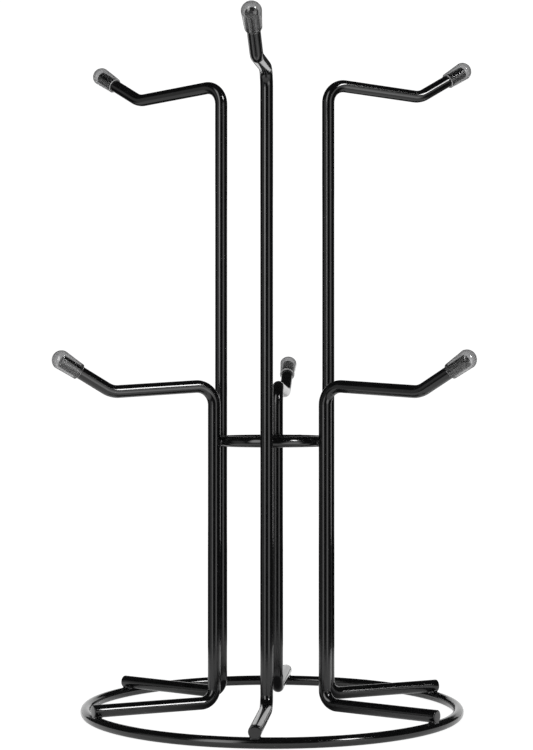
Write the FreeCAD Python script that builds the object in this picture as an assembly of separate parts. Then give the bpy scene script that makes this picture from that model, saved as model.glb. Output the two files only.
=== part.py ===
"""Wire mug tree: six bent steel hook rods welded to a base ring and a smaller ring part way up.

Three tall and three short hooks alternate round the axis. Each is one rod: a foot that lies on
the base ring, an upright post, an arm that slopes down and outwards, and a tip that kicks up and
carries a push-on soft cap.

Frame: millimetres, +Z up, origin on the surface the tree stands on and on the tree's axis.
The front tall hook points along -Y.
"""
import FreeCAD, Part
import math
import os

from FreeCAD import Vector

# Wire stock
HOOK_WIRE = 6.0                 # diameter of the six hook rods
RING_WIRE = 5.0                 # diameter of the wire of both rings
WIRE_END_ROUND = 0.4            # rounding of the cut ends of a hook rod

# Rings
BASE_RING_RADIUS = 89.25        # axis to wire centre
MIDDLE_RING_HEIGHT = 131.2      # centre of the ring's wire above the surface
FOOT_SET_DOWN = 0.45            # how far a foot is pressed into the base ring by its weld
POST_SET_DOWN = 0.25            # how far a post is pressed into the middle ring by its weld

# Hook rods, as the corners where the straight runs would meet
POST_RADIUS = 30.4              # axis to post centre
FOOT_END_RADIUS = 91.3          # axis to the cut end of a foot
TALL_CORNER_HEIGHT = 305.5      # where the post's and the arm's centre lines meet
SHORT_CORNER_HEIGHT = 157.9
ARM_SLOPE = 3.5                 # degrees below horizontal
KINK_RADIUS = 82.0              # axis to where the arm turns up into the tip
TIP_SLOPE = 30.0                # degrees above horizontal
TIP_WIRE_LENGTH = 28.5          # kink corner to the end of the wire, inside the cap

# Bend radii of a hook rod's centre line
FOOT_BEND = 6.6
SHOULDER_BEND = 8.8
KINK_BEND = 10.8

# Tip caps
CAP_START = 18.4                # kink corner to the open end of the cap, along the tip
CAP_SIDE_LENGTH = 10.6          # open end to where the side runs into the domed end
CAP_LENGTH = 14.7               # open end to the top of the dome
CAP_MOUTH_RADIUS = 3.9          # outside
CAP_FULL_RADIUS = 4.53          # outside, where the cap is widest
CAP_WALL = 0.6                  # thickness of the side and the dome, which stand off the wire
CAP_GRIP_LENGTH = 0.8           # thicker lip at the mouth, the only part that grips the wire
CAP_MOUTH_ROUND = 0.3           # rounding of the mouth's outer edge
CAP_SHOULDER_ROUND = 3.1        # arc from the side into the shallower crown of the dome
CAP_LEAN = 1.8                  # degrees that the soft cap leans up from the line of the wire

# Weld metal: a round collar between two crossing wires
WELD_RADIUS = 2.0

# Worked out from the values above
ARM_LENGTH = (KINK_RADIUS - POST_RADIUS) / math.cos(math.radians(ARM_SLOPE))
FOOT_HEIGHT = RING_WIRE + HOOK_WIRE / 2 - FOOT_SET_DOWN
MIDDLE_RING_RADIUS = POST_RADIUS - (HOOK_WIRE + RING_WIRE) / 2 + POST_SET_DOWN

# Hooks in order round the axis: name, degrees anticlockwise from the front, corner height
HOOKS = [
    ("tall_hook_front", 0, TALL_CORNER_HEIGHT),
    ("short_hook_front_right", 60, SHORT_CORNER_HEIGHT),
    ("tall_hook_rear_right", 120, TALL_CORNER_HEIGHT),
    ("short_hook_rear", 180, SHORT_CORNER_HEIGHT),
    ("tall_hook_rear_left", 240, TALL_CORNER_HEIGHT),
    ("short_hook_front_left", 300, SHORT_CORNER_HEIGHT),
]

UP = Vector(0, 0, 1)
AXIS_POINT = Vector(0, 0, 0)


def turned(shape, degrees_from_front):
    """A copy of a shape made along +X, turned round the axis to its place from the front (-Y)."""
    copy = shape.copy()
    copy.rotate(AXIS_POINT, UP, degrees_from_front - 90)
    return copy


def ring(centre_radius, height):
    """A closed ring of ring wire, its wire centre at the given height."""
    return Part.makeTorus(centre_radius, RING_WIRE / 2, Vector(0, 0, height))


def rounded_path(corners, bend_radii):
    """Straight runs between the corners, with a tangent arc in place of each inner corner."""
    edges = []
    run_start = corners[0]
    for before, corner, after, radius in zip(corners, corners[1:], corners[2:], bend_radii):
        back = (before - corner).normalize()
        ahead = (after - corner).normalize()
        half_angle = back.getAngle(ahead) / 2
        tangent_length = radius / math.tan(half_angle)
        inward = (back + ahead).normalize()
        arc_start = corner + back * tangent_length
        arc_middle = corner + inward * (radius / math.sin(half_angle) - radius)
        arc_end = corner + ahead * tangent_length
        edges.append(Part.makeLine(run_start, arc_start))
        edges.append(Part.Arc(arc_start, arc_middle, arc_end).toShape())
        run_start = arc_end
    edges.append(Part.makeLine(run_start, corners[-1]))
    return Part.Wire(edges)


def direction(slope):
    """Unit vector outwards along +X, raised by a slope in degrees."""
    angle = math.radians(slope)
    return Vector(math.cos(angle), 0, math.sin(angle))


def kink_corner(corner_height):
    """Where the arm and the tip of a hook along +X would meet."""
    return Vector(POST_RADIUS, 0, corner_height) + direction(-ARM_SLOPE) * ARM_LENGTH


def hook_rod(corner_height):
    """One hook rod along +X: foot, post, arm and tip, bent from a single piece of wire."""
    kink = kink_corner(corner_height)
    corners = [
        Vector(FOOT_END_RADIUS, 0, FOOT_HEIGHT),
        Vector(POST_RADIUS, 0, FOOT_HEIGHT),
        Vector(POST_RADIUS, 0, corner_height),
        kink,
        kink + direction(TIP_SLOPE) * TIP_WIRE_LENGTH,
    ]
    path = rounded_path(corners, [FOOT_BEND, SHOULDER_BEND, KINK_BEND])
    section = Part.makeCircle(HOOK_WIRE / 2, corners[0], Vector(-1, 0, 0))
    rod = path.makePipe(Part.Face(Part.Wire(section)))
    ends = (corners[0], corners[-1])
    end_edges = [
        edge for edge in rod.Edges
        if min(edge.CenterOfMass.distanceToPoint(end) for end in ends) < WIRE_END_ROUND
    ]
    return rod.makeFillet(WIRE_END_ROUND, end_edges)


def domed_sleeve(inset):
    """A solid flared sleeve with a domed end, up +Z from its mouth, inset from a cap's outside."""
    # Half section in the XZ plane. The dome is a shoulder arc and a crown arc, centred on the
    # sleeve's axis, that meet tangentially.
    mouth_centre = Vector(0, 0, 0)
    mouth_side = Vector(CAP_MOUTH_RADIUS - inset, 0, 0)
    dome_side = Vector(CAP_FULL_RADIUS - inset, 0, CAP_SIDE_LENGTH)
    dome_top = Vector(0, 0, CAP_LENGTH - inset)
    dome_depth = dome_top.z - dome_side.z
    shoulder_round = CAP_SHOULDER_ROUND - inset
    shoulder_centre = dome_side - Vector(shoulder_round, 0, 0)
    crown_radius = (
        (shoulder_centre.x ** 2 + dome_depth ** 2 - shoulder_round ** 2)
        / (2 * (dome_depth - shoulder_round))
    )
    crown_centre = dome_top - Vector(0, 0, crown_radius)
    meeting_direction = (shoulder_centre - crown_centre).normalize()
    meeting = crown_centre + meeting_direction * crown_radius
    shoulder_direction = (meeting_direction + Vector(1, 0, 0)).normalize()
    shoulder_middle = shoulder_centre + shoulder_direction * shoulder_round
    crown_middle = crown_centre + (meeting_direction + UP).normalize() * crown_radius
    section = Part.Wire([
        Part.makeLine(mouth_centre, mouth_side),
        Part.makeLine(mouth_side, dome_side),
        Part.Arc(dome_side, shoulder_middle, meeting).toShape(),
        Part.Arc(meeting, crown_middle, dome_top).toShape(),
        Part.makeLine(dome_top, mouth_centre),
    ])
    return Part.Face(section).revolve(AXIS_POINT, UP, 360)


def tip_cap(corner_height):
    """One soft thin-walled cap along +X, pushed over the tip of a rod."""
    outside = domed_sleeve(0)
    mouth_edges = [edge for edge in outside.Edges if edge.BoundBox.ZMax < CAP_MOUTH_ROUND]
    lip = Part.makeCylinder(CAP_FULL_RADIUS, CAP_GRIP_LENGTH)
    cavity = domed_sleeve(CAP_WALL).cut(lip)
    cap = outside.makeFillet(CAP_MOUTH_ROUND, mouth_edges).cut(cavity)
    mouth = kink_corner(corner_height) + direction(TIP_SLOPE) * CAP_START
    cap.Placement = FreeCAD.Placement(mouth, FreeCAD.Rotation(UP, direction(TIP_SLOPE + CAP_LEAN)))
    wire_start = mouth - direction(TIP_SLOPE) * HOOK_WIRE
    wire_length = HOOK_WIRE + TIP_WIRE_LENGTH - CAP_START
    wire = Part.makeCylinder(HOOK_WIRE / 2, wire_length, wire_start, direction(TIP_SLOPE))
    return cap.cut(wire)


def foot_weld():
    """Weld metal along +X between a foot and the base ring under it, before the wires are cut."""
    under = Vector(BASE_RING_RADIUS, 0, RING_WIRE / 2)
    return Part.makeCylinder(WELD_RADIUS, FOOT_HEIGHT - RING_WIRE / 2, under, UP)


def post_weld():
    """Weld metal along +X between the middle ring and the post outside it, before the cuts."""
    inside = Vector(MIDDLE_RING_RADIUS, 0, MIDDLE_RING_HEIGHT)
    return Part.makeCylinder(WELD_RADIUS, POST_RADIUS - MIDDLE_RING_RADIUS, inside, Vector(1, 0, 0))


def weld_group(weld, welded_ring, rods):
    """The six welds of one ring as separate solids, each cut back to the wires that it joins."""
    solids = []
    for (_, degrees, _), rod in zip(HOOKS, rods):
        solids.extend(turned(weld, degrees).cut([welded_ring, rod]).Solids)
    return Part.makeCompound(solids)


def export(shape, node):
    """Write one sub-part to its own STEP file."""
    if not shape.isValid():
        raise ValueError(f"{node} is not a valid shape")
    shape.exportStep(f"parts/{node}.step")
    print(f"{node}: {len(shape.Solids)} solid(s), {shape.Volume:.1f} mm3")


def main():
    os.makedirs("parts", exist_ok=True)
    base_ring = ring(BASE_RING_RADIUS, RING_WIRE / 2)
    middle_ring = ring(MIDDLE_RING_RADIUS, MIDDLE_RING_HEIGHT)
    export(base_ring, "base_ring")
    export(middle_ring, "middle_ring")

    rods = []
    for name, degrees, corner_height in HOOKS:
        # The rings are pressed into the rods at the welds, which leaves shallow saddles there.
        rod = turned(hook_rod(corner_height), degrees).cut([base_ring, middle_ring])
        rods.append(rod.Solids[0])
        export(rods[-1], name)
        export(turned(tip_cap(corner_height), degrees), name.replace("hook", "tip_cap"))

    export(weld_group(foot_weld(), base_ring, rods), "foot_welds")
    export(weld_group(post_weld(), middle_ring, rods), "middle_ring_welds")


main()
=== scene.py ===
"""Studio scene of a black wire mug tree with smoke-grey vinyl caps on its tips.

Everything is in metres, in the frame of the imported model: +Z up, origin on the floor below the
tree's axis, the front tall hook pointing along -Y. Directions round the axis are given in degrees
anticlockwise from the front (-Y), seen from above.
"""
import math

import bmesh
import bpy
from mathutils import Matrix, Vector, noise

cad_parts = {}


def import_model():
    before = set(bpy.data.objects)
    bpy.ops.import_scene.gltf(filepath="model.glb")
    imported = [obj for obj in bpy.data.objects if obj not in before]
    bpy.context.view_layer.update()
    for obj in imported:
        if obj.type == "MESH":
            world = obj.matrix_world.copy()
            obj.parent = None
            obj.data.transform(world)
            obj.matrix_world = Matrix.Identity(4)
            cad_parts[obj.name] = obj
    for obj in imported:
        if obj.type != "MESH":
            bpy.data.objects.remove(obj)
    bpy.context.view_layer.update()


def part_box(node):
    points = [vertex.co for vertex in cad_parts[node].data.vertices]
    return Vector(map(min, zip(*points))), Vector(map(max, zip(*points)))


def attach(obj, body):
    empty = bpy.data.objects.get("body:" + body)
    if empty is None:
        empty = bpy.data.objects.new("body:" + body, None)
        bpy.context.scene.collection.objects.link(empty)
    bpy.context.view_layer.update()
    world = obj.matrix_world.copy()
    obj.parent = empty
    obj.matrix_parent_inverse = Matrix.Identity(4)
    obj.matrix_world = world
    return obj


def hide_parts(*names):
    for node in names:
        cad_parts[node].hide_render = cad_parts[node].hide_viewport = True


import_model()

MM = 0.001
UP = Vector((0, 0, 1))


# ---------------------------------------------------------------- sizes

def node_size(node):
    low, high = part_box(node)
    return high - low


def middle_height(node):
    low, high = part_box(node)
    return (low.z + high.z) / 2


RING_WIRE = node_size("base_ring").z
HOOK_WIRE = node_size("tall_hook_front").x
BASE_RING_RADIUS = (node_size("base_ring").x - RING_WIRE) / 2
BASE_RING_HEIGHT = middle_height("base_ring")
MIDDLE_RING_RADIUS = (node_size("middle_ring").x - RING_WIRE) / 2
MIDDLE_RING_HEIGHT = middle_height("middle_ring")

# Hook rods, as the corners where the straight runs of the centre line would meet
POST_RADIUS = 30.4 * MM
FOOT_END_RADIUS = 91.3 * MM
FOOT_HEIGHT = 7.55 * MM
TALL_CORNER_HEIGHT = 305.5 * MM
SHORT_CORNER_HEIGHT = 157.9 * MM
ARM_SLOPE = math.radians(3.5)
KINK_RADIUS = 82.0 * MM
TIP_SLOPE = math.radians(30)
TIP_WIRE_LENGTH = 28.5 * MM
FOOT_BEND = 6.6 * MM
SHOULDER_BEND = 8.8 * MM
KINK_BEND = 10.8 * MM

# Cut wire ends: a rounded edge, and a face that is very slightly crowned
END_ROUND = 0.4 * MM
END_CROWN = 0.06 * MM
END_FACE_PARTS = (0.3, 0.65, 1.0)
END_ROUND_STEPS = 4

# A bent wire is squeezed a little in the plane of the bend, and spreads across it
BEND_SQUEEZE = 0.014
BEND_SPREAD = 0.006

# Butt joint where the wire of each ring closes: a faint raised band on its upper half
SEAM_DIRECTION = 152
SEAM_RISE = 0.09 * MM
SEAM_WIDTH = 0.9 * MM

# Tip caps, measured from the open end
CAP_START = 18.4 * MM
CAP_SIDE_LENGTH = 10.6 * MM
CAP_LENGTH = 14.7 * MM
CAP_MOUTH_RADIUS = 3.9 * MM
CAP_FULL_RADIUS = 4.53 * MM
CAP_SHOULDER_ROUND = 3.1 * MM
CAP_LIP_ROUND = 0.3 * MM
CAP_LEAN = math.radians(1.8)
CAP_WALL = 0.6 * MM
CAP_GRIP_LENGTH = 0.8 * MM
CAP_GRIP_GAP = 0.03 * MM
CAP_HOLLOW_START = CAP_GRIP_LENGTH * 1.1
CAP_UNEVENNESS = 0.05 * MM
CAP_UNEVENNESS_SIZE = 4 * MM
CAP_SEED = 3

# Welds: how far the fused metal spreads between two crossing wires, and how uneven it is
WELD_BLEND = 1.3 * MM
WELD_LUMPS = 0.35
WELD_LUMP_SIZE = 1.1 * MM
WELD_SINK = 0.02 * MM
WELD_REACH = 2.9 * MM
WELD_CORE = 1.0 * MM
WELD_LATITUDES = range(-56, 57, 7)
WELD_SEED = 17

# Mesh fineness
WIRE_SIDES = 48
RUN_STEP = 4.0 * MM
ARC_STEP = math.radians(4)
RING_STEPS = 240
CAP_SIDES = 64
CROWN_STEPS = 6
SHOULDER_STEPS = 12
SIDE_STEPS = 10
LIP_OUTER_STEPS = 4
LIP_INNER_STEPS = 3
WELD_SIDES = 60
WELD_SEARCH_STEPS = 40
WELD_HALVINGS = 12

# Hooks in order round the axis: kind, position name, degrees from the front, corner height
HOOKS = [
    ("tall", "front", 0, TALL_CORNER_HEIGHT),
    ("short", "front_right", 60, SHORT_CORNER_HEIGHT),
    ("tall", "rear_right", 120, TALL_CORNER_HEIGHT),
    ("short", "rear", 180, SHORT_CORNER_HEIGHT),
    ("tall", "rear_left", 240, TALL_CORNER_HEIGHT),
    ("short", "front_left", 300, SHORT_CORNER_HEIGHT),
]


def outward(degrees):
    """Unit vector away from the axis."""
    angle = math.radians(degrees)
    return Vector((math.sin(angle), -math.cos(angle), 0))


def sideways(degrees):
    """Unit vector round the axis, anticlockwise."""
    return UP.cross(outward(degrees))


# ---------------------------------------------------------------- node helpers

def new_material(name):
    material = bpy.data.materials.new(name)
    material.use_nodes = True
    nodes = material.node_tree.nodes
    return material, nodes, material.node_tree.links, nodes["Principled BSDF"]


def math_node(nodes, links, operation, first, second=None):
    node = nodes.new("ShaderNodeMath")
    node.operation = operation
    for socket, value in zip(node.inputs, (first, second)):
        if isinstance(value, bpy.types.NodeSocket):
            links.new(value, socket)
        elif value is not None:
            socket.default_value = value
    return node.outputs[0]


def object_noise(nodes, links, grain, detail=2.0, roughness=0.5):
    """Noise fixed to the object, with features about one grain (in metres) across."""
    coords = nodes.new("ShaderNodeTexCoord")
    texture = nodes.new("ShaderNodeTexNoise")
    texture.inputs["Scale"].default_value = 1 / grain
    texture.inputs["Detail"].default_value = detail
    texture.inputs["Roughness"].default_value = roughness
    links.new(coords.outputs["Object"], texture.inputs["Vector"])
    return texture.outputs["Fac"]


def remap(nodes, links, value, from_low, from_high, low, high):
    node = nodes.new("ShaderNodeMapRange")
    node.inputs["From Min"].default_value = from_low
    node.inputs["From Max"].default_value = from_high
    node.inputs["To Min"].default_value = low
    node.inputs["To Max"].default_value = high
    links.new(value, node.inputs["Value"])
    return node.outputs["Result"]


def colour_ramp(nodes, links, value, stops):
    """Colours between (position, colour) stops."""
    node = nodes.new("ShaderNodeValToRGB")
    ramp = node.color_ramp
    while len(ramp.elements) < len(stops):
        ramp.elements.new(0.5)
    for element, (position, (red, green, blue)) in zip(ramp.elements, stops):
        element.position = position
        element.color = (red, green, blue, 1)
    links.new(value, node.inputs["Fac"])
    return node.outputs["Color"]


def bump(nodes, links, height, distance, strength):
    node = nodes.new("ShaderNodeBump")
    node.inputs["Distance"].default_value = distance
    node.inputs["Strength"].default_value = strength
    links.new(height, node.inputs["Height"])
    return node.outputs["Normal"]


# ---------------------------------------------------------------- materials

# Noise values that the patches of a finish run between
NOISE_LOW = 0.3
NOISE_HIGH = 0.7

# Coat
COAT_TONE_GRAIN = 9 * MM
COAT_GLOSS_GRAIN = 6 * MM
PEEL_GRAIN = 1.3 * MM
COAT_DARK = (0.0018, 0.0018, 0.0020)
COAT_LIGHT = (0.0036, 0.0036, 0.0038)
COAT_ROUGHNESS = (0.105, 0.15)
COAT_IOR = 1.5
PEEL_DEPTH = 0.012 * MM
PEEL_STRENGTH = 0.2

# Vinyl: share of light that goes in rather than being scattered back, and absorption per mm
VINYL_CLARITY = 0.992
VINYL_SMOKE = 0.68
VINYL_CLOUD_GRAIN = 3 * MM
VINYL_GLOSS_GRAIN = 1.5 * MM
RIPPLE_GRAIN = 2.2 * MM
VINYL_DARK = (0.86, 0.86, 0.865)
VINYL_LIGHT = (0.95, 0.95, 0.955)
VINYL_ROUGHNESS = (0.01, 0.035)
VINYL_COAT_ROUGHNESS = 0.05
# Lower than solid vinyl's, so that the thin sleeve hardly bends the view of the wire inside it
VINYL_IOR = 1.2
RIPPLE_DEPTH = 0.02 * MM
RIPPLE_STRENGTH = 0.12

# The vinyl's cut edge at the mouth: a point attribute, and how the edge differs
CUT_EDGE = "cut_edge"
CUT_EDGE_COLOUR = (0.42, 0.42, 0.42, 1)
CUT_EDGE_CLARITY = 0.25
CUT_EDGE_ROUGHNESS = 0.4


def black_coat():
    """Gloss black powder coat with a faint orange peel and patches of slightly duller gloss."""
    material, nodes, links, shader = new_material("black_coat")
    tone = object_noise(nodes, links, COAT_TONE_GRAIN, detail=4)
    colour = colour_ramp(nodes, links, tone, [(NOISE_LOW, COAT_DARK), (NOISE_HIGH, COAT_LIGHT)])
    links.new(colour, shader.inputs["Base Color"])
    patches = object_noise(nodes, links, COAT_GLOSS_GRAIN, detail=5, roughness=0.6)
    gloss = remap(nodes, links, patches, NOISE_LOW, NOISE_HIGH, *COAT_ROUGHNESS)
    links.new(gloss, shader.inputs["Roughness"])
    shader.inputs["IOR"].default_value = COAT_IOR
    peel = object_noise(nodes, links, PEEL_GRAIN, detail=1)
    links.new(bump(nodes, links, peel, PEEL_DEPTH, PEEL_STRENGTH), shader.inputs["Normal"])
    return material


def smoke_vinyl():
    """Soft see-through vinyl, smoke grey all the way through, dipped smooth, with a matt cut edge."""
    material, nodes, links, shader = new_material("smoke_vinyl")
    cut_edge = nodes.new("ShaderNodeAttribute")
    cut_edge.attribute_name = CUT_EDGE
    cloud = object_noise(nodes, links, VINYL_CLOUD_GRAIN, detail=3)
    clear = colour_ramp(nodes, links, cloud, [(NOISE_LOW, VINYL_DARK), (NOISE_HIGH, VINYL_LIGHT)])
    tint = nodes.new("ShaderNodeMix")
    tint.data_type = "RGBA"
    links.new(cut_edge.outputs["Fac"], tint.inputs["Factor"])
    links.new(clear, tint.inputs["A"])
    tint.inputs["B"].default_value = CUT_EDGE_COLOUR
    links.new(tint.outputs["Result"], shader.inputs["Base Color"])
    see_through = remap(
        nodes, links, cut_edge.outputs["Fac"], 0, 1, VINYL_CLARITY, CUT_EDGE_CLARITY
    )
    links.new(see_through, shader.inputs["Transmission Weight"])
    gloss = object_noise(nodes, links, VINYL_GLOSS_GRAIN, detail=3)
    gloss = remap(nodes, links, gloss, NOISE_LOW, NOISE_HIGH, *VINYL_ROUGHNESS)
    edge_gloss = math_node(
        nodes, links, "MULTIPLY", cut_edge.outputs["Fac"], CUT_EDGE_ROUGHNESS
    )
    links.new(math_node(nodes, links, "ADD", gloss, edge_gloss), shader.inputs["Roughness"])
    shader.inputs["IOR"].default_value = VINYL_IOR
    shader.inputs["Coat Weight"].default_value = 1.0
    shader.inputs["Coat Roughness"].default_value = VINYL_COAT_ROUGHNESS
    ripple = object_noise(nodes, links, RIPPLE_GRAIN, detail=1)
    links.new(bump(nodes, links, ripple, RIPPLE_DEPTH, RIPPLE_STRENGTH), shader.inputs["Normal"])
    smoke = nodes.new("ShaderNodeVolumeAbsorption")
    smoke.inputs["Color"].default_value = (0, 0, 0, 1)
    smoke.inputs["Density"].default_value = VINYL_SMOKE / MM
    links.new(smoke.outputs["Volume"], nodes["Material Output"].inputs["Volume"])
    return material


# ---------------------------------------------------------------- mesh helpers

def skin(name, rings, slot, node, closed=False):
    """One smooth closed piece through a stack of rings of points. A ring of one point is a pole."""
    shape = bmesh.new()
    loops = [[shape.verts.new(point) for point in ring] for ring in rings]
    following = loops[1:] + loops[:1] if closed else loops[1:]
    for first, second in zip(loops, following):
        count = max(len(first), len(second))
        for here in range(count):
            there = (here + 1) % count
            corners = (
                first[here % len(first)],
                first[there % len(first)],
                second[there % len(second)],
                second[here % len(second)],
            )
            shape.faces.new(tuple(dict.fromkeys(corners))).smooth = True
    bmesh.ops.recalc_face_normals(shape, faces=shape.faces)
    mesh = bpy.data.meshes.new(name)
    shape.to_mesh(mesh)
    shape.free()
    mesh.materials.append(FINISHES[slot])
    piece = bpy.data.objects.new(name, mesh)
    bpy.context.scene.collection.objects.link(piece)
    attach(piece, "root")
    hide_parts(node)
    return piece


def circle(centre, across, along, sides):
    """Points round an ellipse with the two given half axes."""
    points = []
    for step in range(sides):
        angle = math.tau * step / sides
        points.append(centre + across * math.cos(angle) + along * math.sin(angle))
    return points


def arc_values(count):
    """Angles from just over 0 to 90 degrees."""
    return [math.radians(90) * (step + 1) / count for step in range(count)]


# ---------------------------------------------------------------- hook rods

def heading_vector(heading):
    """Unit vector in the plane of a hook: x is away from the axis, y is up."""
    return Vector((math.cos(heading), math.sin(heading)))


def kink_corner(corner_height):
    arm_drop = (KINK_RADIUS - POST_RADIUS) * math.tan(ARM_SLOPE)
    return Vector((KINK_RADIUS, corner_height - arm_drop))


def straight_run(start, end, heading):
    """Stations from start up to, but without, end: place, heading and how bent the wire is."""
    count = max(1, round((end - start).length / RUN_STEP))
    return [(start.lerp(end, step / count), heading, 0) for step in range(count)]


def bend(corner, heading, next_heading, radius):
    """Stations round one bend, both of its ends included."""
    turn = math.remainder(next_heading - heading, math.tau)
    side = math.copysign(1, turn)
    setback = radius * math.tan(abs(turn) / 2)
    start = corner - heading_vector(heading) * setback
    centre = start + heading_vector(heading + side * math.pi / 2) * radius
    count = math.ceil(abs(turn) / ARC_STEP)
    stations = []
    for step in range(count + 1):
        now = heading + turn * step / count
        place = centre + heading_vector(now - side * math.pi / 2) * radius
        stations.append((place, now, math.sin(math.pi * step / count) ** 2))
    return stations


def hook_stations(corner_height):
    """The centre line of a hook rod, short of both cut ends by their crown and rounding."""
    trim = END_ROUND + END_CROWN
    kink = kink_corner(corner_height)
    corners = [
        Vector((FOOT_END_RADIUS - trim, FOOT_HEIGHT)),
        Vector((POST_RADIUS, FOOT_HEIGHT)),
        Vector((POST_RADIUS, corner_height)),
        kink,
        kink + heading_vector(TIP_SLOPE) * (TIP_WIRE_LENGTH - trim),
    ]
    headings = [math.pi, math.pi / 2, -ARM_SLOPE, TIP_SLOPE]
    stations = []
    start = corners[0]
    bends = zip(corners[1:], headings, headings[1:], [FOOT_BEND, SHOULDER_BEND, KINK_BEND])
    for corner, heading, next_heading, radius in bends:
        arc = bend(corner, heading, next_heading, radius)
        stations += straight_run(start, arc[0][0], heading) + arc[:-1]
        start = arc[-1][0]
    stations += straight_run(start, corners[-1], headings[-1])
    stations.append((corners[-1], headings[-1], 0))
    return stations


def in_space(place, degrees):
    """A point of a hook's own plane, put at its place round the axis."""
    return outward(degrees) * place.x + UP * place.y


def end_rings(centre, facing, across, along):
    """Rings from the middle of a cut end to where its rounding meets the wire's full width."""
    wire_radius = HOOK_WIRE / 2
    face_radius = wire_radius - END_ROUND
    face = centre + facing * (END_ROUND + END_CROWN)
    rings = [[face]]
    for part in END_FACE_PARTS:
        radius = face_radius * part
        middle = face - facing * END_CROWN * part ** 2
        rings.append(circle(middle, across * radius, along * radius, WIRE_SIDES))
    for angle in arc_values(END_ROUND_STEPS)[:-1]:
        radius = face_radius + END_ROUND * math.sin(angle)
        middle = centre + facing * END_ROUND * math.cos(angle)
        rings.append(circle(middle, across * radius, along * radius, WIRE_SIDES))
    return rings


def hook_rod(kind, place_name, degrees, corner_height):
    """A hook: foot, post, arm and tip, bent from one length of wire."""
    stations = hook_stations(corner_height)
    across = sideways(degrees)
    rings = []
    for place, heading, bent in stations:
        in_plane = in_space(heading_vector(heading + math.pi / 2), degrees)
        width = HOOK_WIRE / 2 * (1 + BEND_SPREAD * bent)
        depth = HOOK_WIRE / 2 * (1 - BEND_SQUEEZE * bent)
        rings.append(circle(in_space(place, degrees), across * width, in_plane * depth, WIRE_SIDES))
    caps = []
    for (place, heading, _), direction in ((stations[0], -1), (stations[-1], 1)):
        facing = in_space(heading_vector(heading), degrees) * direction
        in_plane = in_space(heading_vector(heading + math.pi / 2), degrees)
        caps.append(end_rings(in_space(place, degrees), facing, across, in_plane))
    name = f"{kind}_hook_{place_name}"
    return skin(name + "_rod", caps[0] + rings + caps[1][::-1], "black_coat", name)


# ---------------------------------------------------------------- rings

def wire_ring(node, radius, height):
    """A closed ring of round wire with the faint seam where its ends were butted together."""
    rings = []
    seam_degrees = math.degrees(SEAM_WIDTH / radius)
    for step in range(RING_STEPS):
        degrees = 360 * step / RING_STEPS
        centre = outward(degrees) * radius + UP * height
        away = math.remainder(degrees - SEAM_DIRECTION, 360) / seam_degrees
        rise = SEAM_RISE * math.exp(-away ** 2)
        points = circle(centre, outward(degrees), UP, WIRE_SIDES)
        ring = []
        for point in points:
            direction = point - centre
            ring.append(centre + direction * (RING_WIRE / 2 + rise * max(0, direction.z)))
        rings.append(ring)
    return skin(node + "_wire", rings, "black_coat", node, closed=True)


# ---------------------------------------------------------------- welds

def ring_distance(radius, height):
    """Distance from a ring's wire, in a hook's coordinates: outwards, sideways, up."""
    def distance(point):
        from_line = math.hypot(point.x, point.y) - radius
        return math.hypot(from_line, point.z - height) - RING_WIRE / 2
    return distance


def foot_distance(point):
    return math.hypot(point.y, point.z - FOOT_HEIGHT) - HOOK_WIRE / 2


def post_distance(point):
    return math.hypot(point.x - POST_RADIUS, point.y) - HOOK_WIRE / 2


def weld_depth(point, first, second, seed):
    """Below zero inside the two wires or the metal fused between them."""
    near, far = first(point), second(point)
    closeness = max(WELD_BLEND - abs(near - far), 0) / WELD_BLEND
    lump = noise.noise(point / WELD_LUMP_SIZE + seed)
    fill = closeness ** 2 * WELD_BLEND / 4 * (1 + WELD_LUMPS * lump)
    return min(near, far) - fill + WELD_SINK


def weld_surface(centre, direction, first, second, outer_limit, seed):
    """Where a ray from the middle of a weld comes out of its metal, or runs on inside a wire."""
    furthest = WELD_REACH
    if direction.x > 0:
        furthest = min(WELD_REACH, (outer_limit - centre.x) / direction.x)
    inside, outside = 0, furthest
    for step in range(1, WELD_SEARCH_STEPS + 1):
        reach = furthest * step / WELD_SEARCH_STEPS
        if weld_depth(centre + direction * reach, first, second, seed) > 0:
            outside = reach
            break
        inside = reach
    for _ in range(WELD_HALVINGS):
        middle = (inside + outside) / 2
        if weld_depth(centre + direction * middle, first, second, seed) > 0:
            outside = middle
        else:
            inside = middle
    return centre + direction * inside


def weld_bead(name, degrees, centre, pressed, first, second, outer_limit, node):
    """Fused metal round the place where two wires cross, pressed together along one direction.

    The metal stops at the outer limit, a distance from the tree's axis.
    """
    seed = Vector((degrees, WELD_SEED, centre.z / MM))
    flat = Vector((0, 1, 0))
    other = pressed.cross(flat)
    rings = [[centre - pressed * WELD_CORE]]
    for latitude in WELD_LATITUDES:
        level = math.radians(latitude)
        spread = math.cos(level)
        directions = circle(pressed * math.sin(level), flat * spread, other * spread, WELD_SIDES)
        ring = []
        for direction in directions:
            ring.append(weld_surface(centre, direction, first, second, outer_limit, seed))
        rings.append(ring)
    rings.append([centre + pressed * WELD_CORE])
    out, side = outward(degrees), sideways(degrees)
    placed = [[out * point.x + side * point.y + UP * point.z for point in ring] for ring in rings]
    return skin(name, placed, "black_coat", node)


def foot_weld(place_name, degrees):
    contact = Vector((BASE_RING_RADIUS, 0, (RING_WIRE + FOOT_HEIGHT - HOOK_WIRE / 2) / 2))
    base = ring_distance(BASE_RING_RADIUS, BASE_RING_HEIGHT)
    outer_limit = FOOT_END_RADIUS - END_ROUND
    name = f"foot_weld_{place_name}"
    return weld_bead(name, degrees, contact, UP, base, foot_distance, outer_limit, "foot_welds")


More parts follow.
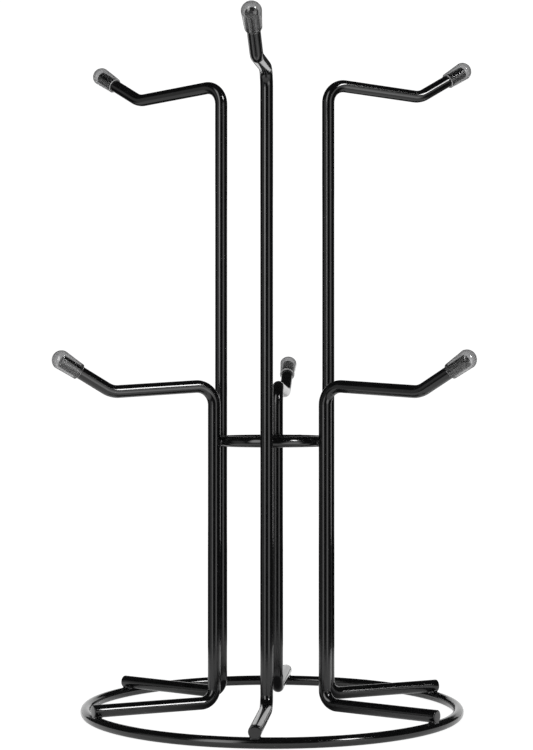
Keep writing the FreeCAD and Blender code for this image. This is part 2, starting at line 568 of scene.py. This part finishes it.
def post_weld(place_name, degrees):
    ring_side = MIDDLE_RING_RADIUS + RING_WIRE / 2
    post_side = POST_RADIUS - HOOK_WIRE / 2
    contact = Vector(((ring_side + post_side) / 2, 0, MIDDLE_RING_HEIGHT))
    ring = ring_distance(MIDDLE_RING_RADIUS, MIDDLE_RING_HEIGHT)
    outer_limit = POST_RADIUS + HOOK_WIRE / 2
    name = f"middle_ring_weld_{place_name}"
    away = Vector((1, 0, 0))
    return weld_bead(name, degrees, contact, away, ring, post_distance, outer_limit, "middle_ring_welds")


# ---------------------------------------------------------------- tip caps

def cap_outline(inset, lip_length):
    """Half outline of a cap from its dome's top down to its lip, inset from its outside."""
    side_radius = CAP_FULL_RADIUS - inset
    shoulder_round = CAP_SHOULDER_ROUND - inset
    shoulder_x = side_radius - shoulder_round
    dome_depth = CAP_LENGTH - inset - CAP_SIDE_LENGTH
    crown_span = shoulder_x ** 2 + dome_depth ** 2 - shoulder_round ** 2
    crown_radius = crown_span / (2 * (dome_depth - shoulder_round))
    crown_centre = CAP_LENGTH - inset - crown_radius
    meeting_angle = math.atan2(shoulder_x, CAP_SIDE_LENGTH - crown_centre)
    outline = []
    for step in range(1, CROWN_STEPS + 1):
        angle = meeting_angle * step / CROWN_STEPS
        along = crown_centre + crown_radius * math.cos(angle)
        outline.append((along, crown_radius * math.sin(angle)))
    for step in range(1, SHOULDER_STEPS + 1):
        angle = meeting_angle + (math.pi / 2 - meeting_angle) * step / SHOULDER_STEPS
        along = CAP_SIDE_LENGTH + shoulder_round * math.cos(angle)
        outline.append((along, shoulder_x + shoulder_round * math.sin(angle)))
    flare = (CAP_FULL_RADIUS - CAP_MOUTH_RADIUS) / CAP_SIDE_LENGTH
    for step in range(1, SIDE_STEPS + 1):
        drop = (CAP_SIDE_LENGTH - lip_length) * step / SIDE_STEPS
        outline.append((CAP_SIDE_LENGTH - drop, side_radius - flare * drop))
    return outline


def lip_outline():
    """The rounded lip, from the outside of the mouth over to its inside: distance along, radius."""
    inner = HOOK_WIRE / 2
    outline = []
    for angle in arc_values(LIP_OUTER_STEPS):
        along = CAP_LIP_ROUND * (1 - math.sin(angle))
        outline.append((along, CAP_MOUTH_RADIUS - CAP_LIP_ROUND * (1 - math.cos(angle))))
    for angle in arc_values(LIP_INNER_STEPS):
        along = CAP_LIP_ROUND * (1 - math.cos(angle))
        outline.append((along, inner + CAP_LIP_ROUND * (1 - math.sin(angle))))
    outline.append((CAP_GRIP_LENGTH, inner))
    return outline


def tip_cap(kind, place_name, degrees, corner_height):
    """A soft cap pushed over the tip of a rod. Its outside leans a little from the wire's line."""
    kink = in_space(kink_corner(corner_height), degrees)
    wire_line = in_space(heading_vector(TIP_SLOPE), degrees)
    cap_line = in_space(heading_vector(TIP_SLOPE + CAP_LEAN), degrees)
    across = sideways(degrees)
    mouth = kink + wire_line * CAP_START
    seed = Vector((degrees, corner_height / MM, CAP_SEED))

    def ring(along, radius):
        return circle(mouth + cap_line * along, across * radius, cap_line.cross(across) * radius, CAP_SIDES)

    def clear_of_wire(point):
        """The point, moved out to the wire's surface if it lies inside the wire."""
        along = wire_line.dot(point - mouth)
        middle = mouth + wire_line * along
        away = point - middle
        least = HOOK_WIRE / 2 + CAP_GRIP_GAP
        if along > TIP_WIRE_LENGTH - CAP_START or away.length > least:
            return point
        return middle + away.normalized() * least

    rings = [[mouth + cap_line * CAP_LENGTH]]
    for along, radius in cap_outline(0, CAP_LIP_ROUND):
        middle = mouth + cap_line * along
        uneven = []
        for point in ring(along, radius):
            lump = noise.noise(point / CAP_UNEVENNESS_SIZE + seed)
            dent = CAP_UNEVENNESS * (0.5 + 0.5 * lump)
            uneven.append(point - (point - middle).normalized() * dent)
        rings.append(uneven)
    inside = cap_outline(CAP_WALL, CAP_HOLLOW_START)[::-1]
    for along, radius in lip_outline() + inside:
        rings.append([clear_of_wire(point) for point in ring(along, radius)])
    rings.append([mouth + cap_line * (CAP_LENGTH - CAP_WALL)])
    name = f"{kind}_tip_cap_{place_name}"
    cap = skin(name + "_vinyl", rings, "smoke_vinyl", name)
    edge = cap.data.attributes.new(CUT_EDGE, "FLOAT", "POINT")
    for vertex, value in zip(cap.data.vertices, edge.data):
        along = cap_line.dot(vertex.co - mouth)
        value.value = 1 if along < CAP_LIP_ROUND / 2 else 0
    return cap


# ---------------------------------------------------------------- the tree

FINISHES = {"black_coat": black_coat(), "smoke_vinyl": smoke_vinyl()}

wire_ring("base_ring", BASE_RING_RADIUS, BASE_RING_HEIGHT)
wire_ring("middle_ring", MIDDLE_RING_RADIUS, MIDDLE_RING_HEIGHT)
for hook_kind, hook_place, hook_degrees, hook_height in HOOKS:
    hook_rod(hook_kind, hook_place, hook_degrees, hook_height)
    tip_cap(hook_kind, hook_place, hook_degrees, hook_height)
    foot_weld(hook_place, hook_degrees)
    post_weld(hook_place, hook_degrees)


# ---------------------------------------------------------------- studio

CAMERA_DIRECTION = 4.715
CAMERA_DISTANCE = 904.8 * MM
CAMERA_HEIGHT = 154.5 * MM
CAMERA_HEADING = math.radians(4.884)
CAMERA_PITCH = math.radians(0.533)
CAMERA_LENS = 90.14
CAMERA_SENSOR_WIDTH = 36

DISC_SIDES = 96
WHITE = (1, 1, 1, 1)
BLACK = (0, 0, 0, 1)

FLOOR_RADIUS = 4.0
FLOOR_COLOUR = (0.12, 0.12, 0.12, 1)
FLOOR_ROUGHNESS = 0.9
FLOOR_GLOW = 0.95

# Table: distances from the axis where its painted shade under the tree starts and stops lightening, and
# grey at each
TABLE_RADIUS = 0.24
TABLE_HEIGHT = 0.1 * MM
TABLE_PAINTED_SHADE = (30 * MM, 65 * MM)
TABLE_PAINTED_SHADE_GREY = (0.05, 0.8)
TABLE_GLOW = 0.35

BOARD_DISTANCE = 1.0
BOARD_WIDTH = 1.6
BOARD_HEIGHT = 0.36
BOARD_RADIANCE = 1.0

OVERHEAD_SIZE = 2.0
OVERHEAD_HEIGHT = 2.2
OVERHEAD_RADIANCE = 0.25

FILL_RADIANCE = 1.05
BACKDROP_RADIANCE = 1.05
ROOM_RADIANCE = 0.025

# Soft-edged cards round the tree, fixed in the world. Each row: degrees round from the camera's
# place, elevation, half width, half height, softness, radiance
CARDS = [
    (-33, 24, 12, 22, 12, 4.4),      # tall strip on the left
    (-33, -6, 12, 12, 12, 1.8),      # its dimmer lower end
    (44, 0, 14, 14, 12, 1.7),        # low card on the right
    (50, 33, 6, 6.5, 5, 36),         # key softbox on the right
    (42, -24, 20, 12, 12, 3.0),      # the key's light on the sweep in front
    (-72, -10, 14, 30, 16, 0.5),     # side wall on the left
    (0, -60, 130, 26, 20, 0.9),      # sweep below and in front
]
# The white behind the tree, as it is seen through the vinyl, in a row of the same form
SEEN_THROUGH = (180, 0, 60, 70, 40, 1.0)

camera_data = bpy.data.cameras.new("camera")
camera_data.sensor_width = CAMERA_SENSOR_WIDTH
camera_data.lens = CAMERA_LENS
camera = bpy.data.objects.new("camera", camera_data)
bpy.context.scene.collection.objects.link(camera)
camera.location = outward(CAMERA_DIRECTION) * CAMERA_DISTANCE + Vector((0, 0, CAMERA_HEIGHT))
camera.rotation_euler = (math.pi / 2 + CAMERA_PITCH, 0, CAMERA_HEADING)
bpy.context.scene.camera = camera


def disc(name, radius, height):
    """A flat round piece of the studio, level and on the axis."""
    mesh = bpy.data.meshes.new(name)
    shape = bmesh.new()
    bmesh.ops.create_circle(shape, cap_ends=True, segments=DISC_SIDES, radius=radius)
    bmesh.ops.translate(shape, verts=shape.verts, vec=(0, 0, height))
    shape.to_mesh(mesh)
    shape.free()
    obj = bpy.data.objects.new(name, mesh)
    bpy.context.scene.collection.objects.link(obj)
    return obj


def show_only_in_gloss(obj):
    obj.visible_camera = False
    obj.visible_diffuse = False
    obj.visible_shadow = False
    obj.visible_transmission = False


def floor():
    """The glowing white sweep that the camera sees. Gloss sees the small table instead."""
    obj = disc("floor", FLOOR_RADIUS, 0)
    material, _, _, shader = new_material("floor")
    shader.inputs["Base Color"].default_value = FLOOR_COLOUR
    shader.inputs["Roughness"].default_value = FLOOR_ROUGHNESS
    shader.inputs["Specular IOR Level"].default_value = 0.0
    shader.inputs["Emission Color"].default_value = WHITE
    shader.inputs["Emission Strength"].default_value = FLOOR_GLOW
    obj.data.materials.append(material)
    obj.visible_glossy = False


def table():
    """A small white table top seen only in gloss, glowing faintly though it is no lamp, with painted shade
    that darkens it under the tree.
    """
    obj = disc("table", TABLE_RADIUS, TABLE_HEIGHT)
    material, nodes, links, shader = new_material("table")
    coords = nodes.new("ShaderNodeTexCoord")
    from_axis = nodes.new("ShaderNodeVectorMath")
    from_axis.operation = "LENGTH"
    links.new(coords.outputs["Object"], from_axis.inputs[0])
    # Painted shade: the table's colour and glow are darkened near the axis, standing in for the shade under
    # the tree
    painted_shade = remap(nodes, links, from_axis.outputs["Value"], *TABLE_PAINTED_SHADE, *TABLE_PAINTED_SHADE_GREY)
    links.new(painted_shade, shader.inputs["Base Color"])
    links.new(painted_shade, shader.inputs["Emission Color"])
    # Painted light: the table glows though it is no lamp, dimmed by the same painted shade
    shader.inputs["Emission Strength"].default_value = TABLE_GLOW
    shader.inputs["Specular IOR Level"].default_value = 0.0
    obj.data.materials.append(material)
    show_only_in_gloss(obj)


def board():
    """A low white board standing behind the tree, seen only in the gloss of the wires."""
    mesh = bpy.data.meshes.new("board")
    foot = outward(CAMERA_DIRECTION + 180) * BOARD_DISTANCE
    half_width = sideways(CAMERA_DIRECTION) * BOARD_WIDTH / 2
    top = UP * BOARD_HEIGHT
    corners = [foot - half_width, foot + half_width, foot + half_width + top, foot - half_width + top]
    mesh.from_pydata(corners, [], [(0, 1, 2, 3)])
    obj = bpy.data.objects.new("board", mesh)
    bpy.context.scene.collection.objects.link(obj)
    material, _, _, shader = new_material("board")
    shader.inputs["Base Color"].default_value = BLACK
    shader.inputs["Emission Color"].default_value = WHITE
    shader.inputs["Emission Strength"].default_value = BOARD_RADIANCE
    mesh.materials.append(material)
    show_only_in_gloss(obj)


def overhead_light():
    """A large soft lamp above the tree, not seen by the camera or in gloss."""
    data = bpy.data.lights.new("overhead", "AREA")
    data.size = OVERHEAD_SIZE
    data.energy = OVERHEAD_RADIANCE * math.pi * OVERHEAD_SIZE ** 2
    obj = bpy.data.objects.new("overhead", data)
    bpy.context.scene.collection.objects.link(obj)
    obj.location = (0, 0, OVERHEAD_HEIGHT)
    obj.visible_camera = False
    obj.visible_glossy = False


def patch(nodes, links, direction, elevation, spec):
    """Radiance of one soft-edged reflection card, as a node socket."""
    azimuth, centre_elevation, half_width, half_height, softness, radiance = spec
    turn = nodes.new("ShaderNodeVectorRotate")
    turn.rotation_type = "Z_AXIS"
    turn.inputs["Angle"].default_value = -math.radians(CAMERA_DIRECTION + azimuth)
    links.new(direction, turn.inputs["Vector"])
    split = nodes.new("ShaderNodeSeparateXYZ")
    links.new(turn.outputs["Vector"], split.inputs[0])
    away = math_node(nodes, links, "MULTIPLY", split.outputs["Y"], -1)
    sidestep = math_node(nodes, links, "ARCTAN2", split.outputs["X"], away)
    across = soft_edge(nodes, links, sidestep, half_width, softness)
    raised = math_node(nodes, links, "SUBTRACT", elevation, math.radians(centre_elevation))
    along = soft_edge(nodes, links, raised, half_height, softness)
    inside = math_node(nodes, links, "MULTIPLY", across, along)
    return math_node(nodes, links, "MULTIPLY", inside, radiance)


def soft_edge(nodes, links, angle, half_size, softness):
    """One inside half_size of zero, falling smoothly to nothing over softness (degrees)."""
    distance = math_node(nodes, links, "ABSOLUTE", angle)
    fall = nodes.new("ShaderNodeMapRange")
    fall.interpolation_type = "SMOOTHSTEP"
    fall.inputs["From Min"].default_value = math.radians(half_size - softness / 2)
    fall.inputs["From Max"].default_value = math.radians(half_size + softness / 2)
    fall.inputs["To Min"].default_value = 1
    fall.inputs["To Max"].default_value = 0
    links.new(distance, fall.inputs["Value"])
    return fall.outputs["Result"]


def world():
    """White for the camera, even light for matt surfaces, and cards in a dark room for gloss."""
    scene_world = bpy.data.worlds.new("studio")
    bpy.context.scene.world = scene_world
    scene_world.use_nodes = True
    # Aiming samples at the cards only adds grain to matt surfaces, which never see them.
    scene_world.cycles.sampling_method = "NONE"
    nodes = scene_world.node_tree.nodes
    links = scene_world.node_tree.links
    nodes.clear()
    output = nodes.new("ShaderNodeOutputWorld")
    path = nodes.new("ShaderNodeLightPath")
    coords = nodes.new("ShaderNodeTexCoord")
    direction = coords.outputs["Generated"]
    split = nodes.new("ShaderNodeSeparateXYZ")
    links.new(direction, split.inputs[0])
    elevation = math_node(nodes, links, "ARCSINE", split.outputs["Z"])
    through = patch(nodes, links, direction, elevation, SEEN_THROUGH)
    total = math_node(nodes, links, "MULTIPLY", through, path.outputs["Is Transmission Ray"])
    total = math_node(nodes, links, "ADD", total, ROOM_RADIANCE)
    for spec in CARDS:
        card = patch(nodes, links, direction, elevation, spec)
        total = math_node(nodes, links, "ADD", card, total)
    room = nodes.new("ShaderNodeBackground")
    links.new(total, room.inputs["Strength"])
    fill = nodes.new("ShaderNodeBackground")
    fill.inputs["Strength"].default_value = FILL_RADIANCE
    backdrop = nodes.new("ShaderNodeBackground")
    backdrop.inputs["Strength"].default_value = BACKDROP_RADIANCE
    for background in (room, fill, backdrop):
        background.inputs["Color"].default_value = WHITE
    matt_or_gloss = nodes.new("ShaderNodeMixShader")
    links.new(path.outputs["Is Diffuse Ray"], matt_or_gloss.inputs["Fac"])
    links.new(room.outputs[0], matt_or_gloss.inputs[1])
    links.new(fill.outputs[0], matt_or_gloss.inputs[2])
    seen = nodes.new("ShaderNodeMixShader")
    links.new(path.outputs["Is Camera Ray"], seen.inputs["Fac"])
    links.new(matt_or_gloss.outputs[0], seen.inputs[1])
    links.new(backdrop.outputs[0], seen.inputs[2])
    links.new(seen.outputs[0], output.inputs["Surface"])


floor()
table()
board()
world()
overhead_light()
bpy.context.scene.view_settings.view_transform = "Standard"
